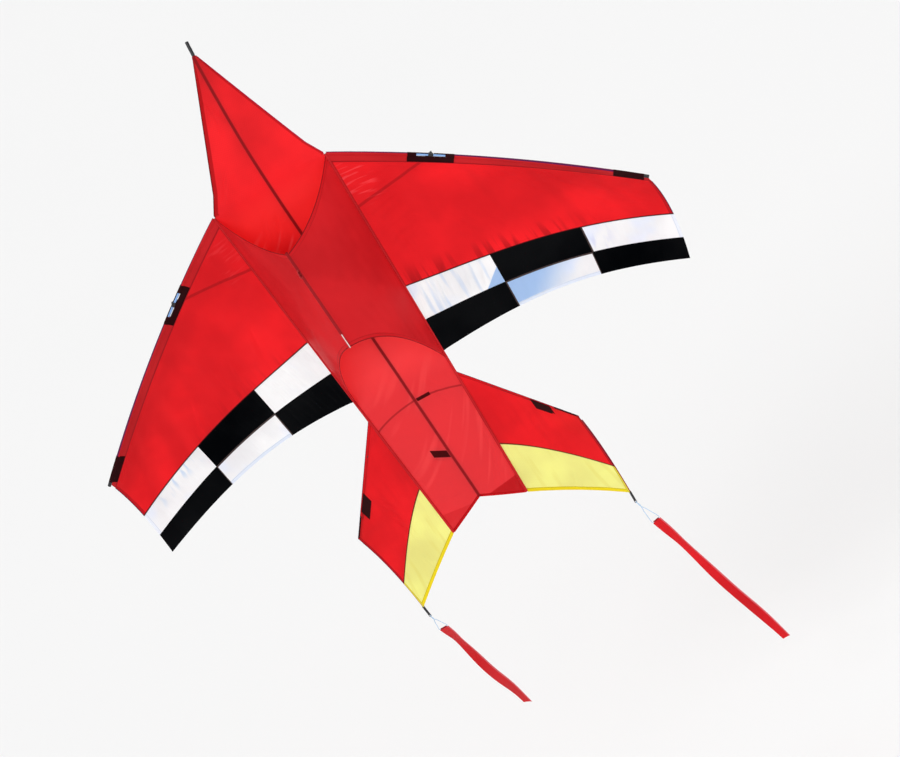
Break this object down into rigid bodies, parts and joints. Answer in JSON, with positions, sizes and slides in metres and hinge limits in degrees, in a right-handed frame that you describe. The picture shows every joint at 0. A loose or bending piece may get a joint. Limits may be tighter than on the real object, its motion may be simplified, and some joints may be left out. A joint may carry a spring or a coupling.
{
  "type": "keeled jet kite",
  "caption": "Single-line kite shaped like a jet: V keel cell, swept wings with a chequered band, swept tail with ribbon streamers.",
  "frame": {"origin": "centre of the hole of the tow eyelet on the keel", "axes": "+Z from the tail to the nose, -Y to the keel side, +X to the right of a viewer who faces the keel side and along the eyelet's hole"},
  "size_m": [1.5652, 0.6497, 2.1367],
  "materials": {
    "red_cloth": "single layer of ripstop nylon, lightly translucent",
    "red_double_cloth": "doubled ripstop nylon, less light comes through",
    "white_cloth": "white ripstop nylon",
    "black_cloth": "black ripstop nylon",
    "yellow_cloth": "yellow ripstop nylon",
    "webbing": "black woven polyester reinforcement",
    "black_plastic": "black vinyl",
    "fibreglass_rod": "white pultruded fibreglass",
    "bright_metal": "bright drawn or rolled metal",
    "loop_cord": "white braided polyester cord",
    "ribbon": "red nylon ribbon"
  },
  "bodies": {
    "frame": {"nose_cap": "black_plastic", "spine_upper": "fibreglass_rod", "spine_lower": "fibreglass_rod", "spine_ferrule": "bright_metal", "spine_sleeve": "red_double_cloth", "left_longeron": "fibreglass_rod", "right_longeron": "fibreglass_rod", "left_longeron_sleeve": "red_double_cloth", "right_longeron_sleeve": "red_double_cloth", "keel_spar": "fibreglass_rod", "keel_sleeve": "red_double_cloth", "tow_tab": "webbing", "tow_eyelet": "bright_metal", "nose_sail": "red_cloth", "body_sail": "red_cloth", "left_keel_panel": "red_double_cloth", "right_keel_panel": "red_double_cloth", "spine_tab": "webbing", "left_hoop_rod": "fibreglass_rod", "right_hoop_rod": "fibreglass_rod", "hoop_connector": "black_plastic", "left_tail_edge_rod": "fibreglass_rod", "right_tail_edge_rod": "fibreglass_rod", "tail_tip_caps": "black_plastic", "left_tail_sail": "red_cloth", "right_tail_sail": "red_cloth", "left_tail_yellow": "yellow_cloth", "right_tail_yellow": "yellow_cloth", "tail_patches": "webbing"},
    "left_wing": {"left_leading_spar": "fibreglass_rod", "left_leading_sleeve": "red_double_cloth", "left_spreader_fitting": "black_plastic", "left_window_patch": "webbing", "left_tip_patch": "webbing", "left_spar_cap": "black_plastic", "left_wing_sail": "red_cloth", "left_white_inner": "white_cloth", "left_black_middle": "black_cloth", "left_white_outer": "white_cloth", "left_black_inner": "black_cloth", "left_white_middle": "white_cloth", "left_black_outer": "black_cloth"},
    "right_wing": {"right_leading_spar": "fibreglass_rod", "right_leading_sleeve": "red_double_cloth", "right_spreader_fitting": "black_plastic", "right_window_patch": "webbing", "right_tip_patch": "webbing", "right_spar_cap": "black_plastic", "right_wing_sail": "red_cloth", "right_white_inner": "white_cloth", "right_black_middle": "black_cloth", "right_white_outer": "white_cloth", "right_black_inner": "black_cloth", "right_white_middle": "white_cloth", "right_black_outer": "black_cloth"},
    "spreader": {"main_spreader": "fibreglass_rod"},
    "left_loop": {"left_streamer_loop": "loop_cord"},
    "left_ribbon": {"left_streamer": "ribbon"},
    "right_loop": {"right_streamer_loop": "loop_cord"},
    "right_ribbon": {"right_streamer": "ribbon"}
  },
  "joints": [
    {"name": "left_wing_fold", "type": "hinge", "parent": "frame", "child": "left_wing", "pos_m": [-0.158, 0.25, 0.154], "axis": [-0.0513, 0, 0.9987], "range_deg": [0, 85]},
    {"name": "right_wing_fold", "type": "hinge", "parent": "frame", "child": "right_wing", "pos_m": [0.158, 0.25, 0.154], "axis": [-0.0513, 0, -0.9987], "range_deg": [0, 85]},
    {"name": "spreader_release", "type": "slide", "parent": "frame", "child": "spreader", "axis": [0, 1, 0], "range_m": [0, 0.06]},
    {"name": "left_loop_swing", "type": "hinge", "parent": "frame", "child": "left_loop", "pos_m": [-0.3024, 0.34159, -1.05995], "axis": [0, 1, 0], "range_deg": [-27, 60]},
    {"name": "left_ribbon_swing", "type": "hinge", "parent": "left_loop", "child": "left_ribbon", "pos_m": [-0.30166, 0.38081, -1.1227], "axis": [0.9999, 0, 0.0118], "range_deg": [-75, 30]},
    {"name": "right_loop_swing", "type": "hinge", "parent": "frame", "child": "right_loop", "pos_m": [0.3024, 0.34159, -1.05995], "axis": [0, 1, 0], "range_deg": [-47, 40]},
    {"name": "right_ribbon_swing", "type": "hinge", "parent": "right_loop", "child": "right_ribbon", "pos_m": [0.31904, 0.34603, -1.13192], "axis": [0.9743, 0, 0.2253], "range_deg": [-50, 58]}
  ]
}
